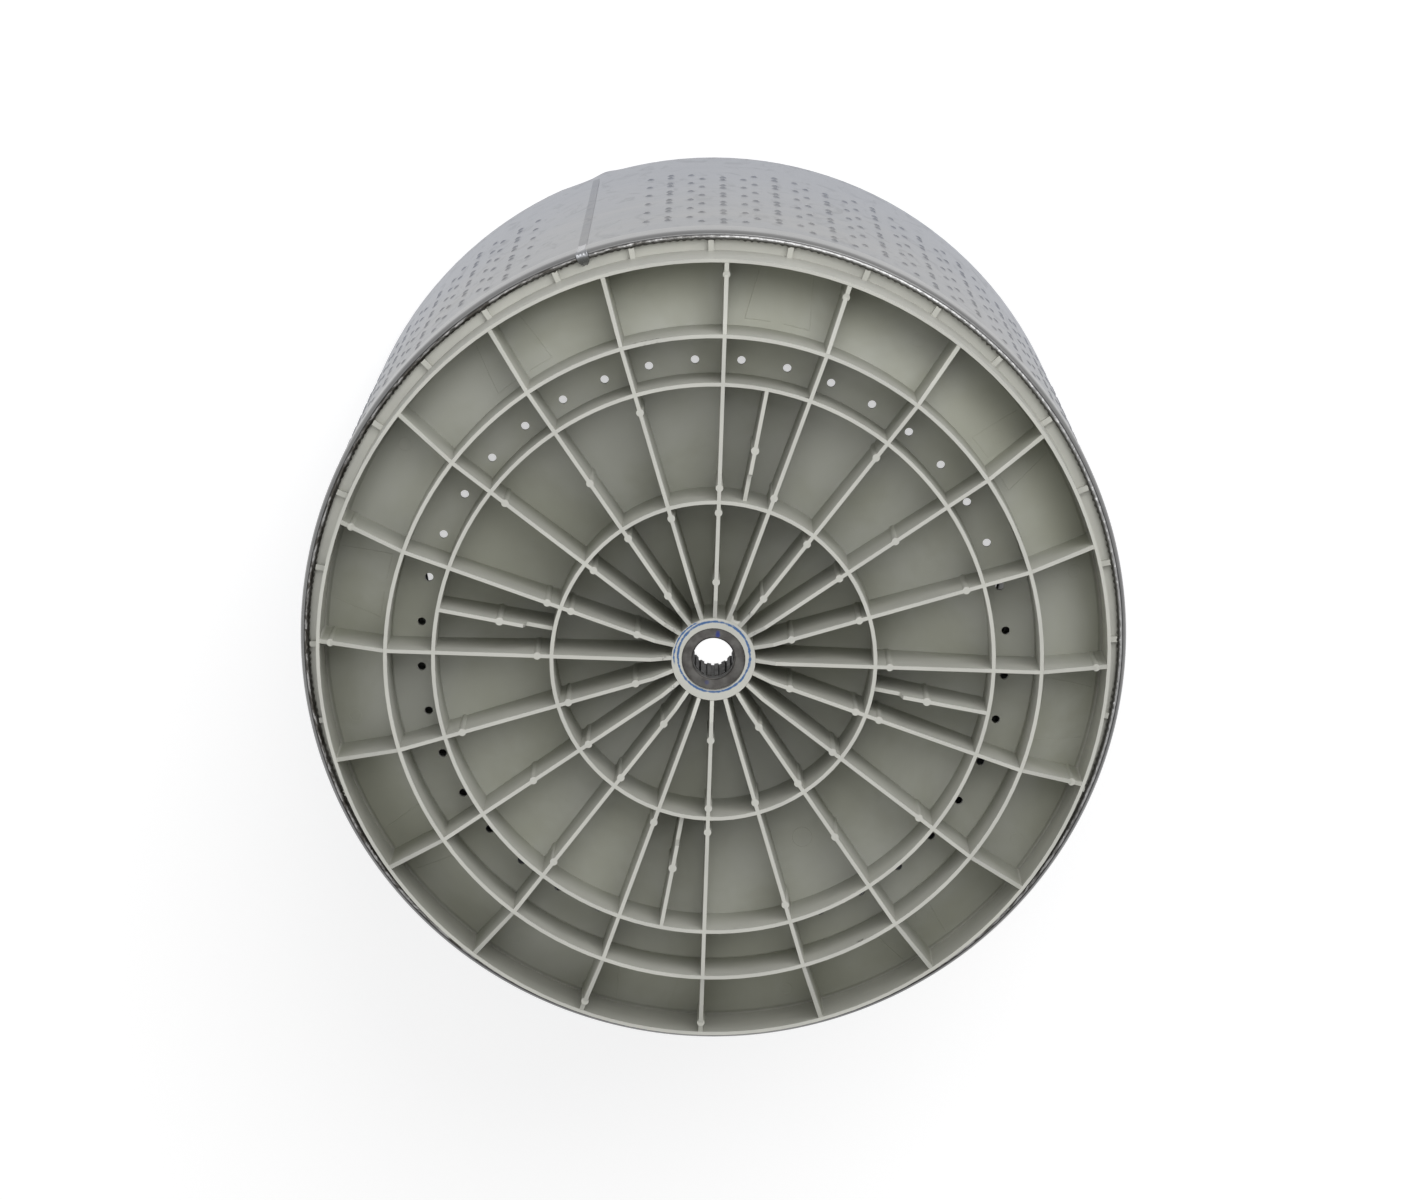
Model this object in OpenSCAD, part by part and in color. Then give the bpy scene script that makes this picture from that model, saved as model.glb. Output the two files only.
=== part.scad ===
// Inner basket of a top-loading washing machine, in millimetres.
// A thin steel wrapper is rolled round the flange of a ribbed plastic base at one end and
// over a balance ring at the other. A splined metal hub is moulded into the base.
// Heights are measured from the plane of the base's rib edges towards the rim, as the
// basket turns in the machine. stand() then turns it over, so that it stands on its rim
// with the base on top: the origin is on the axis in the plane of the rim, and +Z points
// along the axis to the base.

/* [Overall] */
// Outer diameter of the wrapper at its lower band
basket_d = 540; // [500:1:620]
// Height from the rib edges to the rolled rim
basket_h = 494; // [470:1:620]

/* [Wrapper] */
// Thickness of the steel sheet
sheet_t = 0.8; // [0.5:0.1:1.2]
// How far the lower band stands proud of the wall above it
band_step = 0.7; // [0.3:0.1:1.5]
// Height of the top edge of the lower band
band_top_z = 86; // [80:1:92]
// Height over which the band slopes back to the wall
band_slope_h = 2; // [1:0.5:4]
// Width across the rolled edges at the rim and under the flange
roll_w = 6; // [4:0.5:8]
// Length of the lip beyond each rolled edge
lip_len = 3; // [2:0.5:5]

/* [Holes in the wall] */
// Diameter of one hole in the wall
wall_hole_d = 3; // [2:0.1:5]
// Distance between the left and right holes of a group of four
group_w = 29; // [16:1:31]
// Distance between the upper and lower holes of a group of four
group_h = 15; // [10:1:20]
// Number of columns of groups round the wall
group_columns = 44; // [24:1:46]
// Height of the lowest row of groups above the lower band
first_row_rise = 28; // [20:1:40]
// Distance from one row of groups to the next
row_pitch = 48; // [44:1:60]

/* [Seam] */
// Angle of the lapped seam of the wrapper
seam_angle = 249.7; // [0:0.1:360]
// Width of the seam
seam_w = 5.8; // [4:0.1:10]
// How far the seam stands proud of the wall
seam_proud = 0.4; // [0.2:0.1:0.6]
// Height of the lower end of the seam above the lower band
seam_rise = 39; // [5:1:60]
// Distance from the upper end of the seam to the rim
seam_drop = 29; // [10:1:60]
// Angle from the seam to the nearest column of groups
seam_margin = 12; // [8:0.5:20]

/* [Rings of the base] */
// Mean radius of the inner ring of the rib grid
ring_1_r = 103.8; // [95:0.2:108]
// Mean radius of the middle ring
ring_2_r = 179.6; // [174:0.2:182]
// Mean radius of the outer ring of the rib grid
ring_3_r = 210.4; // [208:0.2:220]
// Thickness of a rib or ring at its edge
rib_t = 2.4; // [1.6:0.1:3.6]
// Draft of the ribs and rings on each side, in degrees
draft = 0.5; // [0:0.1:1]
// Distance from the outside of the wrapper to the inside of the outermost ring wall
outer_wall_inset = 15.7; // [13:0.1:20]
// Thickness of the outermost ring wall
outer_wall_t = 2.2; // [1.6:0.1:3.6]
// Height of the lower edge of the outermost ring wall
outer_wall_z = 23; // [10:1:36]

/* [Floor of the base] */
// Thickness of the floor
floor_t = 3; // [2:0.1:5]
// Height of the underside of the floor round the hub
hub_floor_z = 51; // [48:0.5:56]
// Height of the underside of the floor at the inner ring
mid_floor_z = 47; // [44:0.5:50]
// Height of the underside of the floor at the drain holes
drain_floor_z = 39.6; // [32:0.2:44]
// Height of the underside of the flange that the wrapper grips
flange_z = 64; // [60:1:68]
// Thickness of the flange and of the skirt above it
flange_t = 3; // [2:0.1:4]
// Gap between the base and the steel sheet round it
base_gap = 0.2; // [0.1:0.05:0.5]

/* [Ribs of the base] */
// Number of radial ribs
rib_count = 20; // [16:4:24]
// Radius at which the rib edges start to rise towards the hub
hub_rise_r = 40; // [38:1:48]
// Radius at which a short rib steps down from the inner ring
short_rib_step_r = 124; // [114:1:130]
// How far the inner part of a short rib stays back from the other rib edges
short_rib_step_h = 9; // [3:1:15]
// Number of short ribs under the flange
flange_rib_count = 32; // [8:8:40]
// Angle of the first short rib under the flange
flange_rib_start = 9; // [0:0.25:11]
// Width of a short rib under the flange
flange_rib_w = 3.6; // [2:0.1:6]
// Height of a short rib under the flange
flange_rib_h = 4; // [2:0.5:8]

/* [Drain holes] */
// Diameter of a drain hole
drain_d = 5.4; // [3:0.1:7]
// Radius of the circle of drain holes
drain_r = 189.8; // [189:0.2:200]
// Angle from a rib to the first of the two drain holes beside it
drain_start = 3.5; // [2.5:0.1:5]

/* [Gates and ejector columns] */
// Diameter of an ejector column on a rib
ejector_d = 4.8; // [3:0.1:7]
// Diameter of a gate boss on a short rib
gate_d = 5.2; // [4:0.1:7]
// Diameter of the crater left in a gate boss
gate_crater_d = 2.4; // [1:0.1:3]
// Depth of the crater left in a gate boss
gate_crater_h = 1.6; // [0.5:0.1:3]
// Radius of the circle of gate bosses
gate_r = 139.4; // [136:0.2:150]
// Radius of the ejector columns near the hub
hub_ejector_r = 52; // [50:1:70]
// Radius of the ejector columns inside the inner ring
inner_ejector_r = 97; // [76:1:98]
// Radius of the ejector columns outside the inner ring
outer_ejector_r = 113; // [112:1:125]
// Radius of the ejector columns half way to the middle ring
middle_ejector_r = 140; // [130:1:150]
// Radius of the ejector columns inside the middle ring
wide_ejector_r = 168; // [160:1:170]
// Distance from the outermost ejector columns to the outermost ring wall
rim_ejector_inset = 7.3; // [5:0.1:9]

/* [Hub] */
// Outer diameter of the plastic round the metal hub
hub_d = 54; // [50:0.5:66]
// Height of the lower face of the plastic hub
hub_face_z = 6.9; // [3:0.1:15]
// Outer diameter of the metal hub
insert_d = 41.1; // [38:0.1:44]
// Depth of the metal hub's face inside the plastic
insert_inset = 2.7; // [1:0.1:6]
// Length of the metal hub along the axis
insert_len = 45.4; // [42:0.2:56]
// Depth of the metal hub's upper face inside the plastic
insert_cover = 2; // [0:0.5:4]
// Diameter of the bore between the splines
bore_d = 26.5; // [20:0.1:28]
// Chamfer at both ends of the bore
bore_chamfer = 1; // [0.4:0.1:1.5]
// Length of the plain bore below the splines
pilot_len = 7; // [4:0.5:12]
// Width of the relief groove at the end of the splines
relief_w = 3; // [2:0.5:5]
// Number of splines
spline_count = 18; // [12:1:28]
// Depth of a spline
spline_depth = 1.2; // [0.6:0.1:1.5]
// Depth of the two grooves that lock the metal hub in the plastic
lock_groove_depth = 1.5; // [0.8:0.1:2]
// Width of a lock groove
lock_groove_w = 5; // [3:0.5:7]

/* [Balance ring] */
// Diameter of the opening through the balance ring
opening_d = 436; // [410:1:440]
// Height of the balance ring
balance_h = 86; // [60:1:96]
// Rounding of the balance ring's corners
balance_round = 8; // [3:0.5:12]
// Height of the weld bead round the balance ring's opening
weld_bead_h = 3; // [2:0.5:5]
// How far the weld bead stands proud
weld_bead_proud = 1.4; // [0.6:0.2:2]
// Gap between the balance ring and the wrapper
balance_gap = 0.2; // [0.1:0.05:0.5]

/* [Hidden] */
$fn = 96;
over = 1;

// wrapper
band_r = basket_d / 2;
wall_r = band_r - band_step;
wall_in_r = wall_r - sheet_t;
band_in_r = band_r - sheet_t;
roll_r = roll_w / 2;
low_roll_z = flange_z - lip_len;
top_roll_z = basket_h - roll_r;
rim_lip_z = top_roll_z - lip_len;
wall_z = band_top_z + band_slope_h;

// balance ring
balance_top_z = rim_lip_z;
balance_z = balance_top_z - balance_h;
balance_in_r = opening_d / 2;
balance_out_r = wall_in_r - balance_gap;

// groups of holes, as many rows as fit below the balance ring
first_row_z = band_top_z + first_row_rise;
group_rows = floor((balance_z - first_row_z) / row_pitch);
group_pitch = (360 - 2 * seam_margin) / (group_columns - 1);
group_half_a = asin(group_w / 2 / wall_r);

// base
rib_pitch = 360 / rib_count;
outer_wall_r = band_r - outer_wall_inset;
outer_wall_out_r = outer_wall_r + outer_wall_t;
lip_r = band_r - roll_w;
skirt_r = band_in_r - base_gap;
skirt_top_z = band_top_z - band_slope_h;
hub_r = hub_d / 2;

// metal hub
insert_r = insert_d / 2;
insert_z = hub_face_z + insert_inset;
insert_top_z = insert_z + insert_len;
hub_top_z = insert_top_z + insert_cover;
bore_r = bore_d / 2;
spline_z = insert_z + pilot_len + relief_w;

// Underside of the floor as pairs of radius and height
floor_line = [
    [insert_r, hub_floor_z],
    [hub_r, hub_floor_z],
    [ring_1_r, mid_floor_z],
    [ring_2_r, drain_floor_z],
    [ring_3_r - rib_t, drain_floor_z],
    [outer_wall_r - floor_t, flange_z - floor_t],
    [outer_wall_r, flange_z]
];

// Lower edge of the long ribs as pairs of radius and height
edge_line = [
    [hub_r - over, hub_face_z + over],
    [hub_rise_r, 0],
    [ring_3_r, 0],
    [outer_wall_r + over, outer_wall_z + over]
];

module stand() {
    translate([0, 0, basket_h]) rotate([180, 0, 0]) children();
}

function floor_z(r) = lookup(r, floor_line);
function edge_z(r) = lookup(r, edge_line);
function lifted(line, h) = [for (p = line) [p[0], p[1] + h]];
function reversed(line) = [for (i = [len(line) - 1:-1:0]) line[i]];

module half_roll() {
    intersection() {
        difference() {
            circle(r = roll_r);
            circle(r = roll_r - sheet_t);
        }
        translate([-roll_w, 0]) square([2 * roll_w, roll_w]);
    }
}

// Half section of the sheet: rolled edge and lip below, band, wall, rolled rim and lip
module wrapper_section() {
    translate([band_r - roll_r, low_roll_z]) mirror([0, 1]) half_roll();
    translate([lip_r, low_roll_z]) square([sheet_t, lip_len]);
    polygon([
        [band_in_r, low_roll_z],
        [band_r, low_roll_z],
        [band_r, band_top_z],
        [wall_r, wall_z],
        [wall_r, top_roll_z],
        [wall_in_r, top_roll_z],
        [wall_in_r, wall_z],
        [band_in_r, band_top_z]
    ]);
    translate([wall_r - roll_r, top_roll_z]) half_roll();
    translate([wall_r - roll_w, rim_lip_z]) square([sheet_t, lip_len]);
}

module seam() {
    half_a = asin(seam_w / 2 / wall_r);
    z0 = wall_z + seam_rise;
    rotate([0, 0, seam_angle - half_a]) rotate_extrude(angle = 2 * half_a)
        translate([wall_r - sheet_t / 2, z0])
            square([sheet_t / 2 + seam_proud, basket_h - seam_drop - z0]);
}

module wall_hole(a, z) {
    rotate([0, 0, a]) translate([wall_in_r - over, 0, z]) rotate([0, 90, 0])
        cylinder(d = wall_hole_d, h = sheet_t + 2 * over, $fn = 16);
}

module hole_group(a, z) {
    for (s = [-1, 1]) {
        wall_hole(a + s * group_half_a, z);
        wall_hole(a, z + s * group_h / 2);
    }
}

// Every second column is half a row higher, and the seam keeps a blank strip
module wall_holes() {
    for (c = [0:group_columns - 1], r = [0:group_rows - 1]) {
        lift = c % 2 == 0 ? 0.5 : 0;
        hole_group(seam_angle + seam_margin + c * group_pitch, first_row_z + (r + lift) * row_pitch);
    }
}

module basket_wrapper() {
    color("silver") stand() difference() {
        union() {
            rotate_extrude($fn = 180) wrapper_section();
            seam();
        }
        wall_holes();
    }
}

// A drafted ring wall from its edge up into the floor
module ring_wall(r, z) {
    top_z = floor_z(r) + floor_t / 2;
    grow = (top_z - z) * tan(draft);
    rotate_extrude($fn = 180) polygon([
        [r - rib_t / 2, z],
        [r + rib_t / 2, z],
        [r + rib_t / 2 + grow, top_z],
        [r - rib_t / 2 - grow, top_z]
    ]);
}

// A drafted wedge along +X that the ribs are cut from
module rib_blank() {
    half_t = rib_t / 2;
    grow = (flange_z + over) * tan(draft);
    rotate([90, 0, 90]) linear_extrude(outer_wall_r + over) polygon([
        [-half_t, 0],
        [half_t, 0],
        [half_t + grow, flange_z + over],
        [-half_t - grow, flange_z + over]
    ]);
}

module rib_side(points) {
    rotate([90, 0, 0]) linear_extrude(4 * rib_t, center = true) polygon(points);
}

module long_rib() {
    top = [for (p = floor_line) if (p[0] > hub_r - over && p[0] < outer_wall_r) p];
    intersection() {
        rib_blank();
        rib_side(concat(
            edge_line,
            [[outer_wall_r + over, flange_z + over], [outer_wall_r, flange_z + over]],
            reversed(lifted(top, floor_t / 2)),
            [[hub_r - over, hub_floor_z + floor_t / 2]]
        ));
    }
}

module short_rib() {
    intersection() {
        rib_blank();
        rib_side([
            [ring_1_r, short_rib_step_h],
            [short_rib_step_r - 2, short_rib_step_h],
            [short_rib_step_r, 0],
            [ring_2_r, 0],
            [ring_2_r, drain_floor_z + floor_t / 2],
            [ring_1_r, mid_floor_z + floor_t / 2]
        ]);
    }
}

module gate_boss() {
    translate([gate_r, 0, 0]) difference() {
        cylinder(d = gate_d, h = floor_z(gate_r) + floor_t / 2);
        translate([0, 0, -over]) cylinder(d = gate_crater_d, h = gate_crater_h + over);
    }
}

module ejector_column(r) {
    z = edge_z(r);
    translate([r, 0, z]) cylinder(d = ejector_d, h = floor_z(r) + floor_t / 2 - z);
}

// Columns that the ejector pins pushed on, in a pattern that repeats every five and ten ribs
module ejector_columns(i) {
    if (i % 5 < 2) {
        ejector_column(outer_wall_r - rim_ejector_inset);
        ejector_column(outer_ejector_r);
    }
    if (i % 5 == 2 || i % 5 == 4) ejector_column(wide_ejector_r);
    if (i % 5 == 3) ejector_column(middle_ejector_r);
    if (i % 10 != 0 && i % 10 != 6) ejector_column(inner_ejector_r);
    if (i % 2 == 1) ejector_column(hub_ejector_r);
}

module base_shell() {
    top = reversed(lifted([for (p = floor_line) if (p[0] < outer_wall_r) p], floor_t));
    rotate_extrude($fn = 180) polygon(concat(
        [for (p = floor_line) if (p[0] < outer_wall_r) p],
        [
            [outer_wall_r, flange_z],
            [skirt_r, flange_z],
            [skirt_r, skirt_top_z],
            [skirt_r - flange_t, skirt_top_z - over],
            [skirt_r - flange_t, flange_z + flange_t],
            [outer_wall_r, flange_z + flange_t]
        ],
        top
    ));
}

module outer_wall() {
    rotate_extrude($fn = 180) polygon([
        [outer_wall_r, outer_wall_z],
        [outer_wall_out_r, outer_wall_z],
        [outer_wall_out_r + (flange_z - outer_wall_z) * tan(draft), flange_z + over],
        [outer_wall_r, flange_z + over]
    ]);
}

module hub_tube() {
    difference() {
        translate([0, 0, hub_face_z]) cylinder(r = hub_r, h = hub_top_z - hub_face_z);
        translate([0, 0, hub_face_z - over])
            cylinder(r = insert_r, h = hub_top_z - hub_face_z + 2 * over);
    }
    difference() {
        translate([0, 0, insert_z]) cylinder(r = insert_r + over, h = insert_len);
        insert_body();
    }
}

module flange_ribs() {
    x0 = outer_wall_out_r - over / 2;
    x1 = lip_r - base_gap;
    for (i = [0:flange_rib_count - 1])
        rotate([0, 0, flange_rib_start + i * 360 / flange_rib_count])
            translate([x0, -flange_rib_w / 2, flange_z - flange_rib_h])
                cube([x1 - x0, flange_rib_w, flange_rib_h + over]);
}

module drain_holes() {
    for (i = [0:2 * rib_count - 1])
        rotate([0, 0, drain_start + i * rib_pitch / 2]) translate([drain_r, 0, drain_floor_z - over])
            cylinder(d = drain_d, h = floor_t + 2 * over, $fn = 32);
}

module ribbed_base() {
    color("gainsboro") stand() difference() {
        union() {
            base_shell();
            outer_wall();
            hub_tube();
            for (r = [ring_1_r, ring_2_r, ring_3_r]) ring_wall(r, 0);
            for (i = [0:rib_count - 1]) rotate([0, 0, i * rib_pitch]) {
                long_rib();
                ejector_columns(i);
            }
            for (i = [0:3]) rotate([0, 0, rib_pitch / 2 + i * 90]) {
                short_rib();
                gate_boss();
            }
            flange_ribs();
        }
        drain_holes();
    }
}

// The outside of the metal hub, with the two grooves that the plastic fills
module insert_body() {
    third = insert_len / 3;
    difference() {
        translate([0, 0, insert_z]) cylinder(r = insert_r, h = insert_len);
        for (i = [1:2]) translate([0, 0, insert_z + i * third - lock_groove_w / 2]) difference() {
            cylinder(r = insert_r + 2 * over, h = lock_groove_w);
            translate([0, 0, -over]) cylinder(r = insert_r - lock_groove_depth, h = lock_groove_w + 2 * over);
        }
    }
}

module spline_grooves() {
    w = PI * bore_r / spline_count;
    for (i = [0:spline_count - 1]) rotate([0, 0, (i + 0.5) * 360 / spline_count])
        translate([0, 0, spline_z - over]) linear_extrude(insert_len) polygon([
            [bore_r - over, -w / 2],
            [bore_r + spline_depth, -0.4 * w],
            [bore_r + spline_depth, 0.4 * w],
            [bore_r - over, w / 2]
        ]);
}

module hub_insert() {
    color("dimgray") stand() difference() {
        insert_body();
        translate([0, 0, insert_z - over]) cylinder(r = bore_r, h = insert_len + 2 * over);
        translate([0, 0, insert_z - over])
            cylinder(r1 = bore_r + bore_chamfer + over, r2 = bore_r, h = bore_chamfer + over);
        translate([0, 0, insert_top_z - bore_chamfer])
            cylinder(r1 = bore_r, r2 = bore_r + bore_chamfer + over, h = bore_chamfer + over);
        translate([0, 0, insert_z + pilot_len]) cylinder(r = bore_r + spline_depth, h = relief_w);
        spline_grooves();
    }
}

// A sealed ring with a stepped shoulder for the rolled rim and a weld bead round the opening
module balance_section() {
    c = balance_round;
    w = balance_out_r - balance_in_r;
    translate([balance_in_r, balance_z]) {
        translate([c, 0]) square([w - 2 * c, balance_h]);
        translate([0, c]) square([w - c, balance_h - 2 * c]);
        translate([w - c - over, c]) square([c + over, balance_h - c]);
        translate([c, c]) circle(r = c);
        translate([c, balance_h - c]) circle(r = c);
        translate([w - c, c]) circle(r = c);
        translate([-weld_bead_proud, balance_h - c - 2 * weld_bead_h]) square([c, weld_bead_h]);
    }
}

module balance_ring() {
    color("lightgray") stand() rotate_extrude($fn = 180) balance_section();
}

basket_wrapper();
ribbed_base();
hub_insert();
balance_ring();
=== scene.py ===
"""Looks of the washing machine basket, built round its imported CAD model.

Heights and angles are given as in part.scad: heights run from the plane of the base's rib
edges towards the rim, and stand() turns them over, because the basket stands on its rim.
Lengths are in millimetres and become metres in stand().
"""

import math
import random

import bpy
import numpy as np
from mathutils import Matrix, Vector
from mathutils.bvhtree import BVHTree


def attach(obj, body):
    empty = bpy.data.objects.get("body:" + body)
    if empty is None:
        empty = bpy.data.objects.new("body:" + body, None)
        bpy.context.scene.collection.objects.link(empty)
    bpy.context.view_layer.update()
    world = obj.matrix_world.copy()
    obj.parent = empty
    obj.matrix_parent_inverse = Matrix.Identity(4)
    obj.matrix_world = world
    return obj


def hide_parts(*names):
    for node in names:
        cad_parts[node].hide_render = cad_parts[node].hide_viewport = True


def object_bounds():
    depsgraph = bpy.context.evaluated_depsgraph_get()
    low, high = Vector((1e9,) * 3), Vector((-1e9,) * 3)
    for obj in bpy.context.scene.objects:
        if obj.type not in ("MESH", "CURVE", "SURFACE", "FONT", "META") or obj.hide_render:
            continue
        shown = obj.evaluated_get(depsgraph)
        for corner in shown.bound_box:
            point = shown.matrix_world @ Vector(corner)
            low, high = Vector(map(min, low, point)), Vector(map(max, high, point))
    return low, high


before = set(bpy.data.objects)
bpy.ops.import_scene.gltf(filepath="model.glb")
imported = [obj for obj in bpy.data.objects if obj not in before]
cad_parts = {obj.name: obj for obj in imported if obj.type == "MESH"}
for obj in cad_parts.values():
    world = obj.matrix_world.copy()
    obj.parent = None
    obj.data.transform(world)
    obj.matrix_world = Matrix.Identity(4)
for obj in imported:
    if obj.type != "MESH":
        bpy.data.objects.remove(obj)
cad_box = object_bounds()
MM = 0.001
HEIGHT = cad_box[1].z / MM
rng = random.Random(7)

# Wrapper sizes, as in part.scad
BAND_R = cad_box[1].x / MM
WALL_R = BAND_R - 0.7
SHEET_T = 0.8
WALL_Z = 88
ROLL_R = 3.0
HOLE_R = 1.5
GROUP_W, GROUP_H = 29, 15
COLUMNS, ROWS = 44, 6
SEAM, SEAM_MARGIN, SEAM_W = 249.7, 12.0, 5.8
FIRST_ROW_Z, ROW_PITCH = 114, 48
COLUMN_PITCH = (360 - 2 * SEAM_MARGIN) / (COLUMNS - 1)
GROUP_HALF_A = math.degrees(math.asin(GROUP_W / 2 / WALL_R))
LIP_R = BAND_R - 2 * ROLL_R
CREASE_IN = 2.8
FLANGE_Z = 64.0
FLANGE_RIBS = [9 + 11.25 * k for k in range(32)]


def stand(points):
    """Rows of x, y and height, in millimetres as in part.scad, to the row frame in metres."""
    p = np.asarray(points, float)
    return np.stack([p[:, 0], -p[:, 1], HEIGHT - p[:, 2]], 1) * MM


def polar(r, angle, z):
    """Rows of x, y and height from radius, angle in degrees and height."""
    r, angle, z = np.broadcast_arrays(r, np.radians(angle), z)
    return np.stack([r * np.cos(angle), r * np.sin(angle), z], -1).reshape(-1, 3)


# ---------------------------------------------------------------- camera
# The camera that the photograph's rings and rim fit. It looks at the base 12 degrees off axis.
PHOTO_W = 1422
FOCAL_PX = 4527.5
CAMERA_TILT = 0.20715
BASKET_TURN = math.radians(1.92)
BASKET_IN_VIEW = Vector((1.58, 39.59, 2898.8))


def make_camera():
    to_view = (
        Matrix.Rotation(CAMERA_TILT, 3, "X")
        @ Matrix.Rotation(BASKET_TURN, 3, "Z")
        @ Matrix.Diagonal((1, -1, -1))
    )
    place = Vector((0, 0, HEIGHT)) - to_view.transposed() @ BASKET_IN_VIEW
    data = bpy.data.cameras.new("camera")
    data.sensor_width = 36
    data.lens = data.sensor_width * FOCAL_PX / PHOTO_W
    data.clip_start, data.clip_end = 0.1, 50
    cam = bpy.data.objects.new("camera", data)
    axes = to_view.transposed() @ Matrix.Diagonal((1, -1, -1))
    cam.matrix_world = Matrix.Translation(place * MM) @ axes.to_4x4()
    bpy.context.scene.collection.objects.link(cam)
    bpy.context.scene.camera = cam


make_camera()
bpy.context.scene.view_settings.view_transform = "Standard"


# ---------------------------------------------------------------- node helpers
class Shader:
    """A material and short ways to add its nodes. Values are numbers, tuples or sockets."""

    def __init__(self, name, tree=None):
        self.material = bpy.data.materials.new(name)
        self.material.use_nodes = True
        self.tree = self.material.node_tree
        self.tree.nodes.clear()

    def add(self, kind, inputs=None, **settings):
        node = self.tree.nodes.new("ShaderNode" + kind)
        for key, value in settings.items():
            setattr(node, key, value)
        for key, value in (inputs or {}).items():
            self.put(node.inputs[key], value)
        return node

    def put(self, socket, value):
        if isinstance(value, bpy.types.NodeSocket):
            self.tree.links.new(value, socket)
        elif isinstance(value, tuple) and len(value) == 3 and socket.type == "RGBA":
            socket.default_value = (*value, 1)
        else:
            socket.default_value = value

    def math(self, operation, a, b=0.0, c=0.0):
        return self.add("Math", {0: a, 1: b, 2: c}, operation=operation).outputs[0]

    def mix(self, factor, a, b):
        node = self.add("Mix", data_type="RGBA")
        self.put(node.inputs["Factor"], factor)
        self.put(node.inputs[6], a)
        self.put(node.inputs[7], b)
        return node.outputs[2]

    def ramp(self, value, low, high, to_low=0.0, to_high=1.0):
        """Smooth step of value from low to high."""
        node = self.add("MapRange", {
            "Value": value, "From Min": low, "From Max": high,
            "To Min": to_low, "To Max": to_high,
        }, interpolation_type="SMOOTHSTEP")
        return node.outputs[0]

    def place(self):
        """x, y, z of the surface point, in metres."""
        coords = self.add("TexCoord").outputs["Object"]
        split = self.add("SeparateXYZ", {0: coords})
        return coords, split.outputs[0], split.outputs[1], split.outputs[2]

    def noise(self, vector, scale, detail=3.0, roughness=0.55, distortion=0.0):
        node = self.add("TexNoise", {
            "Vector": vector, "Scale": scale, "Detail": detail,
            "Roughness": roughness, "Distortion": distortion,
        })
        return node.outputs["Fac"]

    def stretch(self, vector, scale):
        return self.add("VectorMath", {0: vector, 1: scale}, operation="MULTIPLY").outputs[0]

    def radius(self, x, y, centre=(0, 0)):
        """Distance from an upright line at centre, all in metres."""
        dx = self.math("SUBTRACT", x, centre[0])
        dy = self.math("SUBTRACT", y, centre[1])
        squares = self.math("ADD", self.math("MULTIPLY", dx, dx), self.math("MULTIPLY", dy, dy))
        return self.math("SQRT", squares)

    def spot(self, place, centre, size):
        """1 inside a soft ball round centre, both in metres."""
        off = self.add("VectorMath", {0: place, 1: centre}, operation="DISTANCE").outputs["Value"]
        return self.ramp(off, size, size * 0.5)

    def bump(self, height, strength, distance, normal=None):
        node = self.add("Bump", {"Height": height, "Strength": strength, "Distance": distance})
        if normal is not None:
            self.put(node.inputs["Normal"], normal)
        return node.outputs[0]

    def finish(self, **inputs):
        """The Principled shader with these inputs, whose underscores stand for spaces."""
        bsdf = self.add("BsdfPrincipled", {k.replace("_", " "): v for k, v in inputs.items()})
        out = self.add("OutputMaterial")
        self.tree.links.new(bsdf.outputs[0], out.inputs["Surface"])
        return self.material


# ---------------------------------------------------------------- lights and floor
def area_light(name, place, size, power, aim=(0, 0, 0.25)):
    data = bpy.data.lights.new(name, "AREA")
    data.shape = "DISK"
    data.size, data.energy = size, power
    lamp = bpy.data.objects.new(name, data)
    lamp.location = place
    lamp.rotation_mode = "QUATERNION"
    lamp.rotation_quaternion = (Vector(aim) - Vector(place)).to_track_quat("-Z", "Y")
    bpy.context.scene.collection.objects.link(lamp)


AMBIENT = 0.46
FLOOR_TONE = 0.55
FLOOR_GLOW = 0.6
SEEN_THROUGH_BORE = (0.004, -0.107, 0)


def make_world():
    world = bpy.data.worlds.new("studio")
    bpy.context.scene.world = world
    world.use_nodes = True
    n, l = world.node_tree.nodes, world.node_tree.links
    n.clear()
    path = n.new("ShaderNodeLightPath")
    seen = path.outputs["Is Camera Ray"]
    for ray in ("Is Glossy Ray", "Is Transmission Ray"):
        either = n.new("ShaderNodeMath")
        either.operation = "MAXIMUM"
        l.new(seen, either.inputs[0])
        l.new(path.outputs[ray], either.inputs[1])
        seen = either.outputs[0]
    strength = n.new("ShaderNodeMapRange")
    strength.inputs["To Min"].default_value = AMBIENT
    strength.inputs["To Max"].default_value = 1.0
    l.new(seen, strength.inputs["Value"])
    sky = n.new("ShaderNodeBackground")
    sky.inputs["Color"].default_value = (1, 1, 1, 1)
    l.new(strength.outputs[0], sky.inputs["Strength"])
    out = n.new("ShaderNodeOutputWorld")
    l.new(sky.outputs[0], out.inputs["Surface"])


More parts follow.
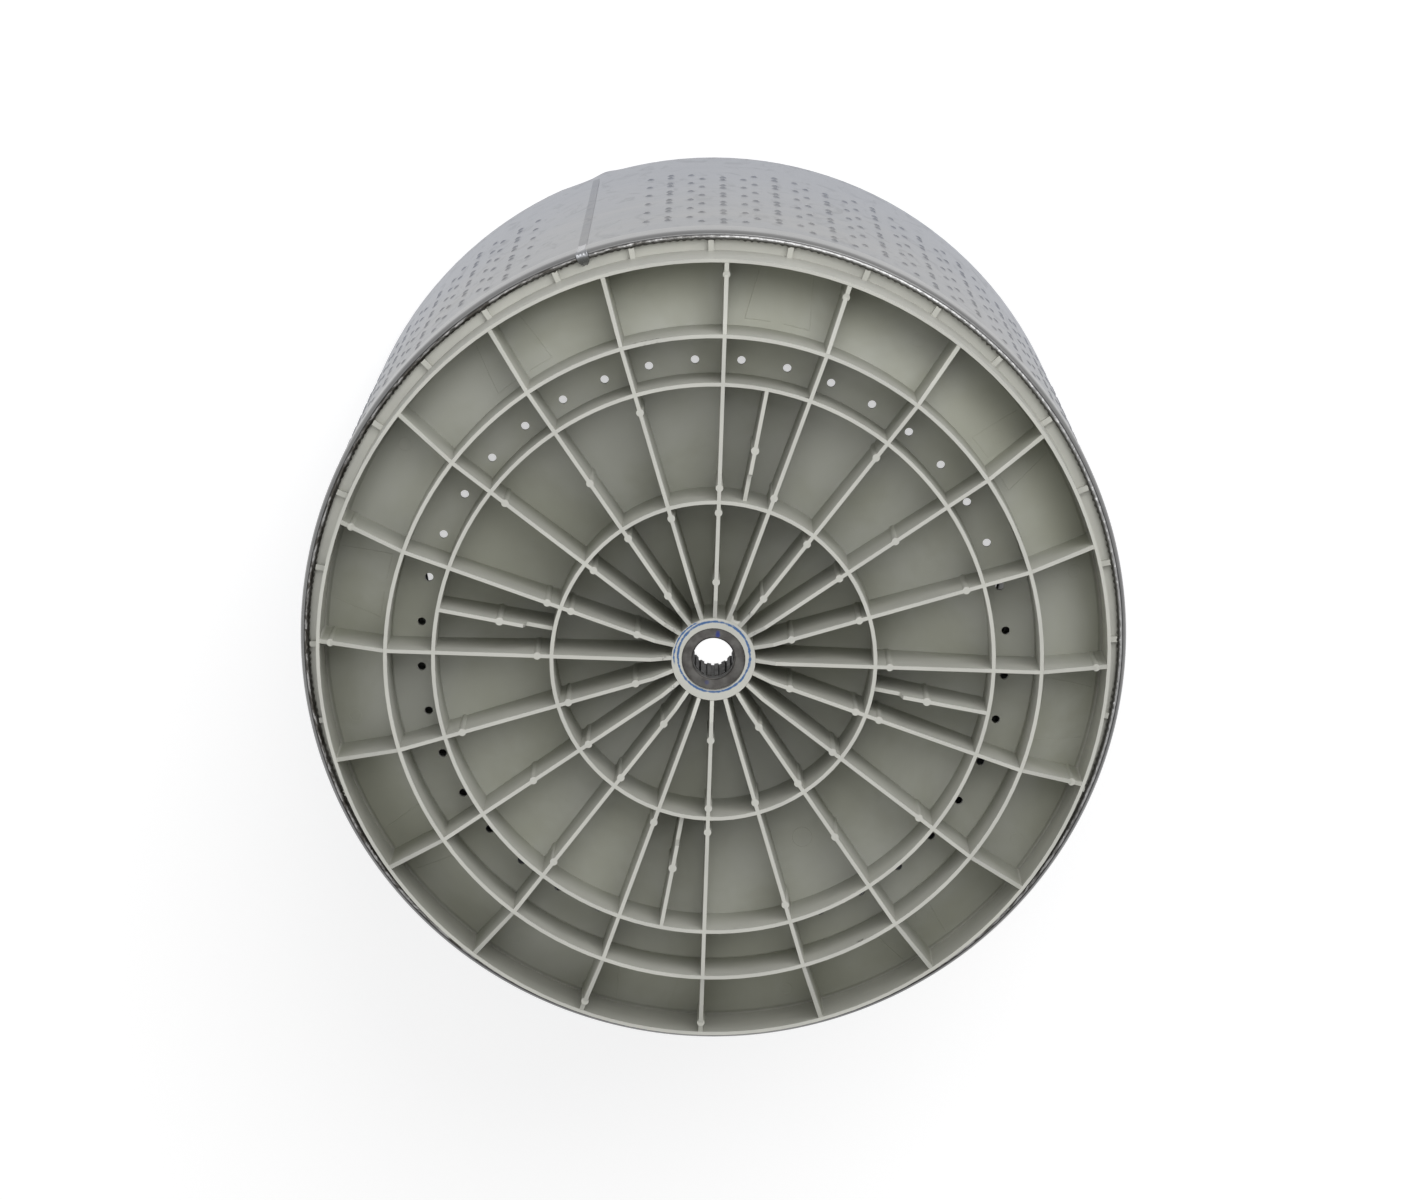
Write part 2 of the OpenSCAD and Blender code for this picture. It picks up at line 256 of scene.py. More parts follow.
def make_floor():
    """A pale floor that looks white to the camera and keeps the basket's soft shadow.

    The spot that the camera sees through the bore glows as white as the backdrop, a painted pool
    of light in the basket's shadow.
    """
    s = Shader("pale_floor")
    path = s.add("LightPath")
    seen = path.outputs["Is Camera Ray"]
    for ray in ("Is Glossy Ray", "Is Transmission Ray"):
        seen = s.math("MAXIMUM", seen, path.outputs[ray])
    place = s.place()[0]
    off = s.add("VectorMath", {0: place, 1: SEEN_THROUGH_BORE}, operation="DISTANCE")
    # painted light: the floor glows full white in a spot under the bore
    lit = s.ramp(off.outputs["Value"], 0.03, 0.06, 1.0, FLOOR_GLOW)
    matt = s.add("BsdfDiffuse", {"Color": (FLOOR_TONE, FLOOR_TONE, FLOOR_TONE)})
    glow = s.add("Emission", {"Color": (1.0, 1.0, 1.0), "Strength": s.math("MULTIPLY", seen, lit)})
    both = s.add("AddShader", {0: matt.outputs[0], 1: glow.outputs[0]})
    s.tree.links.new(both.outputs[0], s.add("OutputMaterial").inputs["Surface"])
    half = 6
    mesh = bpy.data.meshes.new("floor")
    corners = [(-half, -half, 0), (half, -half, 0), (half, half, 0), (-half, half, 0)]
    mesh.from_pydata(corners, [], [(0, 1, 2, 3)])
    mesh.materials.append(s.material)
    floor = bpy.data.objects.new("floor", mesh)
    bpy.context.scene.collection.objects.link(floor)


make_world()
make_floor()
area_light("key", (0.9, 2.2, 2.9), 3.0, 66, aim=(0, 0, 0.45))
area_light("fill", (-1.9, -0.9, 2.9), 2.2, 10)
area_light("top", (-0.4, 0.9, 3.6), 2.0, 14)


# ---------------------------------------------------------------- materials
def tinted(tone, *factors):
    """A colour from a grey or a colour, and a factor for each channel."""
    tones = tone if isinstance(tone, tuple) else (tone,) * 3
    return tuple(channel * factor for channel, factor in zip(tones, factors))


def satin_steel(name, tone=0.28, rough=0.34):
    """Rolled stainless sheet: fine lines round the basket, cloudy reflections, faint smears."""
    s = Shader(name)
    place, x, y, z = s.place()
    turn = s.math("MULTIPLY", s.math("ARCTAN2", y, x), BAND_R * MM)
    unrolled = s.add("CombineXYZ", {0: turn, 1: z, 2: 0.0}).outputs[0]
    lines = s.noise(s.stretch(unrolled, (3.0, 900.0, 1.0)), 1.0, 2.0)
    cloud = s.noise(s.stretch(unrolled, (9.0, 22.0, 1.0)), 1.0, 4.0, 0.6, 0.4)
    smear = s.noise(s.stretch(unrolled, (60.0, 26.0, 1.0)), 1.0, 3.0, 0.6, 1.2)
    dull = s.ramp(smear, 0.52, 0.7)
    cloudy = s.ramp(cloud, 0.35, 0.7)
    tint = s.mix(cloudy, tinted(tone, 0.93, 0.95, 1.0), tinted(tone, 1.04, 1.04, 1.05))
    # painted reflection: the steel turns bluer towards the rim
    rimward_reflection = s.math("MULTIPLY", s.ramp(z, 0.4, 0.03), 0.8)
    tint = s.mix(rimward_reflection, tint, tinted(tone, 0.9, 0.95, 1.09))
    colour = s.mix(s.math("MULTIPLY", dull, 0.2), tint, tinted(tone, 0.84, 0.85, 0.88))
    uneven = s.math("ADD", s.math("MULTIPLY", lines, 0.10), s.math("MULTIPLY", dull, 0.08))
    height = s.math("ADD", s.math("MULTIPLY", lines, 0.25), cloud)
    return s.finish(
        Base_Color=colour, Metallic=1.0, Roughness=s.math("ADD", rough, uneven),
        Normal=s.bump(height, 0.35, 0.0006),
    )


def crimped_steel(name, tone):
    """The band: even on its side, crumpled where it is crimped, with painted shade and a dark
    painted reflection on the crimp's left and bottom, and painted shade in the crease and along
    the curl's inner edge.
    """
    s = Shader(name)
    place, x, y, z = s.place()
    r = s.radius(x, y)
    turn = s.math("MULTIPLY", s.math("ARCTAN2", y, x), BAND_R * MM)
    unrolled = s.add("CombineXYZ", {0: turn, 1: r, 2: z}).outputs[0]
    crumple = s.noise(s.stretch(unrolled, (330.0, 260.0, 260.0)), 1.0, 3.0, 0.6, 0.8)
    mottle = s.noise(s.stretch(unrolled, (90.0, 400.0, 60.0)), 1.0, 4.0, 0.65, 0.6)
    below = s.ramp(z, (HEIGHT - 66) * MM, (HEIGHT - 62) * MM)
    crease_r = (BAND_R - CREASE_IN) * MM
    curl = s.math("MULTIPLY", s.ramp(r, crease_r + 0.3 * MM, crease_r - 0.2 * MM), below)
    # painted shade: a dark line in the crease
    off_crease = s.math("ABSOLUTE", s.math("SUBTRACT", r, crease_r))
    crease = s.math("MULTIPLY", s.ramp(off_crease, 0.45 * MM, 0.15 * MM), below)
    # painted shade and a dark painted reflection on the left and the bottom, as the camera sees
    # them, broken up by the mottle; the right is painted lighter
    shaded_sides = s.math("MAXIMUM", s.ramp(x, 0.1, -0.14), s.ramp(y, -0.02, -0.2))
    # painted shadow along the curl's inner edge
    inner_edge_shade = s.ramp(r, (LIP_R + 1.5) * MM, (LIP_R + 0.5) * MM, 0.0, 0.75)
    dark = s.math("MULTIPLY", s.ramp(mottle, 0.40, 0.56), s.ramp(shaded_sides, 0.0, 1.0, 0.2, 1.0))
    dark = s.math("MAXIMUM", dark, inner_edge_shade)
    # shaded and lit copies of the crimp's steel tone: painted shade and painted light
    shaded_tone, lit_tone = tinted(tone, 0.62, 0.6, 0.58), tinted(tone, 1.2, 1.2, 1.2)
    crimp = s.mix(s.math("MULTIPLY", shaded_sides, 0.6), lit_tone, shaded_tone)
    crimp = s.mix(dark, crimp, (0.06, 0.056, 0.05))
    streaks = s.ramp(s.noise(s.stretch(unrolled, (14.0, 1.0, 60.0)), 1.0), 0.3, 0.7)
    side = s.mix(streaks, tinted(tone, 0.57, 0.57, 0.575), tinted(tone, 0.66, 0.66, 0.655))
    colour = s.mix(s.math("MULTIPLY", crease, 0.8), s.mix(curl, side, crimp), (0.04, 0.04, 0.04))
    lines = s.noise(s.stretch(unrolled, (3.0, 1.0, 900.0)), 1.0, 2.0)
    return s.finish(
        Base_Color=colour, Metallic=1.0,
        Roughness=s.math("ADD", 0.24, s.math("MULTIPLY", lines, 0.1)),
        Normal=s.bump(s.math("MULTIPLY", crumple, curl), 0.8, 0.0006),
    )


def pen_line(s, x, y, centre, radius, half_width, ragged):
    """One round of a marker pen, whose stroke is uneven."""
    r = s.radius(x, y, (centre[0] * MM, centre[1] * MM))
    off = s.math("ABSOLUTE", s.math("SUBTRACT", r, radius * MM))
    wander = s.math("MULTIPLY", s.math("SUBTRACT", ragged, 0.5), 1.4 * MM)
    off = s.math("SUBTRACT", off, wander)
    return s.ramp(off, half_width * MM, half_width * 0.35 * MM)


# Small dark marks on the rib edges: radius, angle and size
EDGE_MARKS = [
    (40.0, 305.3, 1.3), (30.3, 217.4, 1.1), (40.2, 214.9, 0.8), (30.7, 180.5, 1.0),
    (30.7, 144.9, 1.1), (209.6, 254.6, 0.9), (209.6, 256.1, 1.1), (209.6, 257.4, 0.9),
    (209.6, 258.4, 1.2), (209.8, 219.6, 1.0), (180.4, 287.6, 0.9), (30.6, 324.5, 0.7),
    (208.9, 61.0, 1.0), (181.0, 83.5, 0.9), (181.2, 84.6, 0.7), (204.0, 94.5, 0.8),
    (62.0, 142.0, 0.7), (168.2, 216.2, 0.2),
]


def pen_marks(s, place, x, y, z):
    """How far the marker pen round the metal hub covers, twice over in places."""
    face = s.math(
        "MULTIPLY",
        s.ramp(z, (HEIGHT - 8.5) * MM, (HEIGHT - 7.2) * MM),
        s.ramp(s.radius(x, y), 27.4 * MM, 26.6 * MM),
    )
    ragged = s.noise(place, 420.0, 2.0)
    first = pen_line(s, x, y, (0.2, 1.75), 23.1, 0.95, ragged)
    again = pen_line(s, x, y, (-0.9, 1.3), 24.6, 0.7, ragged)
    sides = s.math(
        "MULTIPLY",
        s.ramp(s.math("ABSOLUTE", x), 10.0 * MM, 13.0 * MM),
        s.ramp(y, -5.0 * MM, -1.0 * MM),
    )
    pen = s.math("MAXIMUM", first, s.math("MULTIPLY", again, sides))
    return s.math("MULTIPLY", s.math("MULTIPLY", pen, face), s.ramp(ragged, 0.25, 0.5, 0.7, 0.97))


def dirt_marks(s, place, z, marks):
    """How dark the small marks near the rib edges are."""
    dirt = 0.0
    for r, angle, size in marks:
        centre = tuple(stand(polar(r, angle, 3.0))[0])
        dirt = s.math("MAXIMUM", dirt, s.spot(place, centre, (size + 2.4) * MM))
    broken = s.ramp(s.noise(place, 700.0, 2.0), 0.45, 0.55)
    near_edge = s.ramp(z, (HEIGHT - 8) * MM, (HEIGHT - 3) * MM)
    return s.math("MULTIPLY", s.math("MULTIPLY", dirt, broken), near_edge)


def moulded_plastic(name, tone, marks=()):
    """Light grey moulding: soft blotches, painted shade on the floor and painted light on the
    edges, pen and dirt marks.
    """
    s = Shader(name)
    place, x, y, z = s.place()
    blotch = s.ramp(s.noise(place, 11.0, 4.0, 0.6, 0.3), 0.35, 0.65)
    patches = s.ramp(s.noise(s.stretch(place, (1.0, 1.0, 2.5)), 26.0, 3.0, 0.5), 0.3, 0.7)
    grain = s.noise(place, 900.0, 2.0)
    # painted light towards the rib edges, and all over the outermost wall and the flange; painted
    # shade lower down
    raised = s.ramp(z, (HEIGHT - 44) * MM, (HEIGHT - 5) * MM)
    lit_share = s.math("MAXIMUM", raised, s.ramp(s.radius(x, y), 252.0 * MM, 254.0 * MM))
    # low is the floor's tone, darker and olive with painted shade; high is the edges' painted
    # light, a little blue
    low = s.mix(blotch, tinted(tone, 0.64, 0.65, 0.62), tinted(tone, 0.75, 0.76, 0.78))
    high = s.mix(patches, tinted(tone, 0.96, 0.96, 1.01), tinted(tone, 1.05, 1.05, 1.1))
    colour = s.mix(lit_share, low, high)
    if marks:
        colour = s.mix(pen_marks(s, place, x, y, z), colour, (0.028, 0.10, 0.26))
        dirt = dirt_marks(s, place, z, marks)
        colour = s.mix(s.math("MULTIPLY", dirt, 0.85), colour, (0.06, 0.05, 0.045))
    roughness = s.ramp(s.noise(place, 35.0, 3.0), 0.3, 0.7, 0.42, 0.56)
    return s.finish(
        Base_Color=colour, Roughness=roughness, Specular_IOR_Level=0.4,
        Normal=s.bump(grain, 0.12, 0.0003),
    )


def torn_plastic(name):
    """Torn gate: whitened plastic round a brown, burnt middle."""
    s = Shader(name)
    place, x, y, z = s.place()
    patch = s.noise(place, 900.0, 3.0, 0.6)
    deep = s.ramp(z, (HEIGHT - 0.4) * MM, (HEIGHT - 0.9) * MM)
    pale = s.mix(patch, (0.42, 0.41, 0.35), (0.62, 0.61, 0.54))
    burnt = s.mix(s.ramp(patch, 0.35, 0.65), (0.035, 0.028, 0.02), (0.2, 0.18, 0.14))
    return s.finish(
        Base_Color=s.mix(deep, pale, burnt), Roughness=0.6, Normal=s.bump(patch, 0.5, 0.0004)
    )


# Ticks of the pen on the metal face: radius, angle, size and how dark
PEN_TICKS = ((15.6, 278.4, 1.9, 0.85), (17.3, 277.5, 1.6, 0.7), (16.3, 103.1, 1.9, 0.35))


def turned_iron(name):
    """Dark grey turned metal with concentric tool marks."""
    s = Shader(name)
    place, x, y, z = s.place()
    r = s.radius(x, y)
    wobble = s.noise(place, 240.0, 2.0)
    phase = s.math("ADD", s.math("MULTIPLY", r, 9000.0), s.math("MULTIPLY", wobble, 2.0))
    ring = s.math("SINE", phase)
    patch = s.noise(place, 120.0, 3.0)
    colour = s.mix(s.ramp(patch, 0.3, 0.7), (0.062, 0.059, 0.056), (0.118, 0.115, 0.109))
    face = s.ramp(z, (HEIGHT - 12) * MM, (HEIGHT - 10.4) * MM)
    for r, angle, size, share in PEN_TICKS:
        mark = s.spot(place, tuple(stand(polar(r, angle, 9.6))[0]), size * MM)
        inked = s.math("MULTIPLY", s.math("MULTIPLY", mark, face), share)
        colour = s.mix(inked, colour, (0.03, 0.04, 0.16))
    return s.finish(
        Base_Color=colour, Metallic=1.0, Roughness=s.ramp(patch, 0.3, 0.7, 0.38, 0.55),
        Normal=s.bump(ring, 0.25, 0.0002),
    )


STEEL = satin_steel("satin_steel")
BAND_STEEL = crimped_steel("band_steel", 0.29)
SEAM_STEEL = satin_steel("seam_steel", 0.235, 0.42)
CLINCH_STEEL = satin_steel("clinch_steel", 0.26, 0.2)
PLASTIC = moulded_plastic("moulded_plastic", (0.50, 0.50, 0.435), EDGE_MARKS)
RING_PLASTIC = moulded_plastic("ring_plastic", (0.50, 0.50, 0.46))
GATE_PLASTIC = torn_plastic("torn_plastic")
IRON = turned_iron("turned_iron")


def give(node, material):
    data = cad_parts[node].data
    data.materials.clear()
    data.materials.append(material)


give("ribbed_base", PLASTIC)
give("hub_insert", IRON)
give("balance_ring", RING_PLASTIC)


# ---------------------------------------------------------------- pieces
def make_piece(name, verts, faces, material, normals=None, smooth=True):
    """A piece of the basket from points as in part.scad and faces."""
    mesh = bpy.data.meshes.new(name)
    mesh.from_pydata(stand(verts).tolist(), [], faces)
    mesh.materials.append(material)
    mesh.polygons.foreach_set("use_smooth", [smooth] * len(mesh.polygons))
    mesh.update()
    if normals is not None:
        turned = np.asarray(normals, float) * (1, -1, -1)
        mesh.normals_split_custom_set_from_vertices(turned.tolist())
    piece = bpy.data.objects.new(name, mesh)
    bpy.context.scene.collection.objects.link(piece)
    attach(piece, "root")
    return piece


def stitch(outer, outer_angles, inner, inner_angles):
    """Triangles between an outer and an inner loop of points, both sorted by angle."""
    tris = []
    i = j = 0
    n, m = len(outer), len(inner)
    while i < n or j < m:
        a = outer_angles[i % n] + 2 * math.pi * (i // n)
        b = inner_angles[j % m] + 2 * math.pi * (j // m)
        if j >= m or (i < n and a <= b):
            tris.append((outer[i % n], outer[(i + 1) % n], inner[j % m]))
            i += 1
        else:
            tris.append((inner[j % m], outer[i % n], inner[(j + 1) % m]))
            j += 1
    return tris


def waves(angles, low, high, count):
    """A smooth random ripple round the basket with low to high waves a turn, about -1 to 1."""
    total = np.zeros(len(angles))
    for _ in range(count):
        turns, size = rng.randint(low, high), rng.uniform(0.5, 1)
        total += size * np.sin(turns * np.radians(angles) + rng.uniform(0, 2 * math.pi))
    return total / (0.53 * math.sqrt(count)) / 1.5


def bumps(angles, centres, half_width):
    """1 at each centre, smoothly down to 0 half a width away, in degrees."""
    total = np.zeros(len(angles))
    for centre in centres:
        off = np.abs((angles - centre + 180) % 360 - 180) / half_width
        total += np.where(off < 1, 0.5 + 0.5 * np.cos(np.pi * off), 0)
    return total


def sheet_faces(rows, width):
    """Faces of a sheet of points that come in rows of this width."""
    return [
        (i * width + k, i * width + k + 1, (i + 1) * width + k + 1, (i + 1) * width + k)
        for i in range(rows - 1)
        for k in range(width - 1)
    ]


def make_wall():
    """The perforated wall up to the rolled rim, with a raised edge round each hole."""
    half_cell = GROUP_HALF_A + 0.7
    angles = []
    for c in range(COLUMNS):
        middle = SEAM + SEAM_MARGIN + c * COLUMN_PITCH
        angles += [middle - half_cell, middle - 1.2, middle + 1.2, middle + half_cell]
    seam_lines = [-6, -4, -3, -2, -1, -0.4, 0.2, 0.8, 1.4, 2, 3, 4, 6]
    angles += [SEAM + 360 + a for a in seam_lines]
    heights = [WALL_Z, 96]
    for row in range(2 * ROWS):
        middle = FIRST_ROW_Z + row * ROW_PITCH / 2
        heights += [middle - 10.8, middle - 3.9, middle + 3.9, middle + 10.8]
    heights += [410, 440, 468, HEIGHT - ROLL_R]
    steps = 8
    half_turn = [math.pi * k / steps for k in range(1, steps + 1)]

    def roll(radius, turns):
        """Section points of the rolled rim, this far from the middle of the roll."""
        r, z = WALL_R - ROLL_R, HEIGHT - ROLL_R
        return [(r + radius * math.cos(t), z + radius * math.sin(t)) for t in turns]

    outer = [(WALL_R, z) for z in heights] + roll(ROLL_R, half_turn)
    outer.append((WALL_R - 2 * ROLL_R, HEIGHT - 2 * ROLL_R))
    inner = [(WALL_R - 2 * ROLL_R + SHEET_T, HEIGHT - 2 * ROLL_R)]
    inner += roll(ROLL_R - SHEET_T, half_turn[::-1])
    inner += [(WALL_R - SHEET_T, z) for z in heights[::-1]]
    profile = np.array(outer + inner)
    n_out, n, m = len(outer), len(profile), len(angles)
    ang = np.array(angles)
    r = np.repeat(profile[:, 0], m)
    z = np.repeat(profile[:, 1], m)
    # the rim stands out a little beside the seam
    kink = 1.1 * bumps(ang, [SEAM + 1.4], 2.6) - 0.9 * bumps(ang, [SEAM - 2.6], 4.5)
    r = r + np.tile(kink, n) * np.clip((z - 440) / 50, 0, 1)
    verts = [tuple(p) for p in polar(r, np.tile(ang, n), z)]
    # section normals
    nxt = np.roll(profile, -1, 0) - np.roll(profile, 1, 0)
    nr, nz = nxt[:, 1], -nxt[:, 0]
    ln = np.hypot(nr, nz)
    nr, nz = nr / ln, nz / ln
    flat_out = range(0, len(heights) - 1)
    flat_in = range(n - len(heights) + 1, n)
    for i in flat_out:
        nr[i], nz[i] = 1, 0
    for i in flat_in:
        nr[i], nz[i] = -1, 0
    normals = [tuple(p) for p in polar(np.repeat(nr, m), np.tile(ang, n), np.repeat(nz, m))]
    index = lambda i, j: (i % n) * m + j % m
    holes = {}
    for c in range(COLUMNS):
        first = 0 if c % 2 else 1
        for k in range(ROWS):
            row = 2 * k + first
            base = 2 + 4 * row
            middle_a = SEAM + SEAM_MARGIN + c * COLUMN_PITCH
            middle_z = FIRST_ROW_Z + row * ROW_PITCH / 2
            holes[(base + 1, 4 * c)] = (middle_a - GROUP_HALF_A, middle_z)
            holes[(base + 1, 4 * c + 2)] = (middle_a + GROUP_HALF_A, middle_z)
            holes[(base, 4 * c + 1)] = (middle_a, middle_z - GROUP_H / 2)
            holes[(base + 2, 4 * c + 1)] = (middle_a, middle_z + GROUP_H / 2)
    last_line = len(heights) - 1
    faces = []
    inside = lambda i: n - 1 - i
    hole_cells = set()
    for (i, j) in holes:
        hole_cells.add((i, j))
        hole_cells.add((inside(i) - 1, j))
    for i in range(n):
        for j in range(m):
            if (i, j) not in hole_cells:
                faces.append((index(i, j), index(i, j + 1), index(i + 1, j + 1), index(i + 1, j)))
    sides = 10
    turn = [2 * math.pi * (k + 0.5) / sides for k in range(sides)]
    # radius, rise and tilt of the raised edge
    rings = [(2.9, 0.0, 0.0), (2.1, 0.45, 1.6), (HOLE_R, 0.62, 0.3)]

    def ring(angle0, z0, radius, rise, tilt, base_r, side):
        ids = []
        for t in turn:
            a = angle0 + math.degrees(radius * math.cos(t) / WALL_R)
            zz = z0 + radius * math.sin(t)
            ids.append(len(verts))
            verts.append(tuple(polar(base_r + rise, a, zz)[0]))
            out = polar(side, a, 0)[0]
            along = polar(math.cos(t), a + 90, math.sin(t))[0]
            v = out + tilt * along
            normals.append(tuple(v / np.linalg.norm(v)))
        return ids

    corner_steps = ((0, 0), (0, 1), (1, 1), (1, 0))
    for (i, j), (a0, z0) in holes.items():
        corner_turns = [
            math.atan2(profile[i + d, 1] - z0, math.radians(ang[(j + e) % m] - a0) * WALL_R)
            % (2 * math.pi)
            for d, e in corner_steps
        ]
        order = sorted(range(4), key=lambda q: corner_turns[q])
        corner_turns = [corner_turns[q] for q in order]
        corners = [index(i + corner_steps[q][0], j + corner_steps[q][1]) for q in order]
        loops = [ring(a0, z0, rad, rise, tilt, WALL_R, 1) for rad, rise, tilt in rings]
        faces += stitch(corners, corner_turns, loops[0], turn)
        loops.append(ring(a0, z0, HOLE_R + 0.2, -SHEET_T, -0.3, WALL_R, -1))
        for a, b in zip(loops, loops[1:]):
            for k in range(sides):
                after = (k + 1) % sides
                faces.append((a[k], a[after], b[after], b[k]))
        back = [index(inside(i) - corner_steps[q][0], j + corner_steps[q][1]) for q in order]
        faces += [tri[::-1] for tri in stitch(back, corner_turns, loops[-1], turn)]
    return make_piece("perforated_wall", verts, faces, STEEL, normals)


def make_band():
    """The band below the wall and its edge, crimped over the flange in small wrinkles."""
    columns = 1920
    ang = np.arange(columns) * 360 / columns
    ripple = waves(ang, 330, 470, 9)
    slow = waves(ang, 20, 60, 6)
    stake = bumps(ang, FLANGE_RIBS, 0.7)
    inward = 0.2 + 0.5 * np.maximum(ripple, -0.6) * (0.8 + 0.3 * slow) + 0.8 * stake
    folds = [waves(ang, 150, 330, 8) for _ in range(3)]
    # radius, height, share of the wavy edge, share of the folds
    rows = [
        (WALL_R, WALL_Z, 0, 0), (BAND_R - 0.15, WALL_Z - 1.2, 0, 0),
        (BAND_R, WALL_Z - 2.4, 0, 0), (BAND_R, 72, 0, 0),
        # the rounded corner, then the crease
        (BAND_R, 65, 0, 0), (BAND_R - 0.15, 63.2, 0, 0), (BAND_R - 0.5, 61.6, 0, 0),
        (BAND_R - 1.1, 60.2, 0, 0), (BAND_R - 1.8, 59.2, 0, 0), (BAND_R - 2.4, 58.7, 0, 0.1),
        (BAND_R - CREASE_IN, 59.3, 0, 0.2),
        # the crumpled curl down to the flange
        (BAND_R - 3.2, 58.8, 0, 0.6), (BAND_R - 3.9, 58.5, 0.15, 1), (BAND_R - 4.6, 58.6, 0.4, 1),
        (BAND_R - 5.3, 59.2, 0.8, 0.8), (LIP_R + 0.15, 60.2, 1, 0.4), (LIP_R, 61.4, 1, 0),
        (LIP_R + 0.1, FLANGE_Z, 1, 0),
        # and back inside
        (LIP_R + SHEET_T, FLANGE_Z, 1, 0), (LIP_R + SHEET_T, 61.4, 1, 0),
        (BAND_R - 4.6, 59.7, 0.4, 0), (BAND_R - 2.6, 60.2, 0, 0), (BAND_R - 1.5, 62.4, 0, 0),
        (BAND_R - SHEET_T, 65.4, 0, 0), (BAND_R - SHEET_T, WALL_Z - 2.4, 0, 0),
        (WALL_R - SHEET_T, WALL_Z, 0, 0),
    ]
    verts = []
    for k, (r, z, edge, fold) in enumerate(rows):
        crumple = folds[k % 3] * 0.6 + folds[(k + 1) % 3] * 0.4
        rise = 0.28 * fold * np.clip(crumple, -1, 1) + 0.5 * edge * stake * (z < 62)
        verts.append(polar(r - edge * inward, ang, z + np.broadcast_to(rise, ang.shape)))
    verts = np.concatenate(verts)
    n = len(rows)
    faces = []
    for i in range(n):
        a, b = i * columns, (i + 1) % n * columns
        for j in range(columns):
            after = (j + 1) % columns
            faces.append((a + j, b + j, b + after, a + after))
    return make_piece("crimped_band", verts, faces, BAND_STEEL)


def make_seam():
    """The lapped seam: a dull strip up the wall."""
    bottom, top = WALL_Z + 2, 465
    half = math.degrees(SEAM_W / 2 / WALL_R)
    section = [(-1, -0.3), (-1, 0.25), (-0.86, 0.42), (0.86, 0.42), (1, 0.25), (1, -0.3)]
    heights = np.linspace(bottom, top, 40)
    verts = []
    for z in heights:
        width = half * (1.06 - 0.16 * (z - bottom) / (top - bottom))
        verts += [tuple(polar(WALL_R + rise, SEAM + a * width, z)[0]) for a, rise in section]
    m = len(section)
    faces = sheet_faces(len(heights), m)
    faces += [tuple(range(m))[::-1], tuple(range((len(heights) - 1) * m, len(heights) * m))]
    return make_piece("seam_strip", verts, faces, SEAM_STEEL, smooth=False)


def make_clinch():
    """The tongue that closes the seam: it runs down the band and folds over the crimp."""
    # radius, height, half width and how high the folded edges stand
    path = [
        (BAND_R - 0.5, 93, 3.2, 0.1), (BAND_R + 0.3, 91, 3.3, 0.3), (BAND_R + 0.5, 84, 3.2, 0.3),
        (BAND_R + 0.5, 74, 3.2, 0.3), (BAND_R + 0.6, 66, 3.3, 0.4),
        (BAND_R + 0.7, 61.5, 3.8, 0.7), (BAND_R + 0.2, 58.6, 4.3, 1.0),
        (BAND_R - 1.6, 57.6, 4.5, 1.1), (BAND_R - 4.0, 57.4, 4.5, 1.1),
        (BAND_R - 6.2, 58.4, 4.3, 1.0), (BAND_R - 8.0, 60.4, 3.6, 0.9),
        (BAND_R - 9.2, 62.4, 2.4, 0.8), (BAND_R - 9.8, 63.6, 1.2, 0.5),
    ]
    across = np.linspace(-1, 1, 15)
    crumple = np.array([[rng.uniform(-1, 1) for _ in across] for _ in path])
    verts = []
    for i, (r, z, half, rim) in enumerate(path):
        before, after = path[max(i - 1, 0)], path[min(i + 1, len(path) - 1)]
        along = np.array([after[0] - before[0], after[1] - before[1]])
        out = np.array([-along[1], along[0]]) / np.linalg.norm(along)
        for u, c in zip(across, crumple[i]):
            lift = rim * 0.55 * math.exp(-(((abs(u) - 0.82) / 0.13) ** 2))
            if abs(u) > 0.99:
                lift -= 1.6
            if abs(u) < 0.7:
                lift += 0.16 * c * (rim > 0.5) - 0.25
            angle = SEAM + math.degrees(u * half / BAND_R)
            verts.append(tuple(polar(r + out[0] * lift, angle, z + out[1] * lift)[0]))
    faces = sheet_faces(len(path), len(across))
    piece = make_piece("seam_clinch", verts, faces, CLINCH_STEEL)
    soft = piece.modifiers.new("soft", "SUBSURF")
    soft.levels = soft.render_levels = 1
    return piece


wall = make_wall()
band = make_band()
seam = make_seam()
clinch = make_clinch()
for piece in (wall, band, seam, clinch):
    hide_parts("basket_wrapper")

# ---------------------------------------------------------------- marks on the base
base_tree = BVHTree.FromObject(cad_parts["ribbed_base"], bpy.context.evaluated_depsgraph_get())


def surface_z(r, angle):
    """Height, as in part.scad, of the base's surface that faces the camera."""
    x, y, _ = stand(polar(r, angle, 0))[0]
    hit = base_tree.ray_cast(Vector((x, y, (HEIGHT + 10) * MM)), Vector((0, 0, -1)))[0]
    return HEIGHT - hit.z / MM


def ridge_mesh(path, width, rise):
    """Points and faces of a low ridge along a path of (radius, angle) on the base's surface."""
    flat = polar([p[0] for p in path], [p[1] for p in path], 0.0)
    verts, faces = [], []
    for i, p in enumerate(flat):
        along = flat[min(i + 1, len(flat) - 1)] - flat[max(i - 1, 0)]
        side = np.array([-along[1], along[0]]) / np.linalg.norm(along[:2])
        for share, lift in ((-0.5, -0.15), (-0.12, rise), (0.12, rise), (0.5, -0.15)):
            x, y = p[:2] + side * width * share
            z = surface_z(math.hypot(x, y), math.degrees(math.atan2(y, x)))
            verts.append((x, y, z - lift))
        if i:
            a, b = 4 * (i - 1), 4 * i
            faces += [(a + k, b + k, b + k + 1, a + k + 1) for k in range(3)]
    return verts, faces


def make_ridges(name, paths, width, rise):
    verts, faces = [], []
    for path in paths:
        v, f = ridge_mesh(path, width, rise)
        faces += [tuple(i + len(verts) for i in face) for face in f]
        verts += v
    return make_piece(name, verts, faces, PLASTIC)


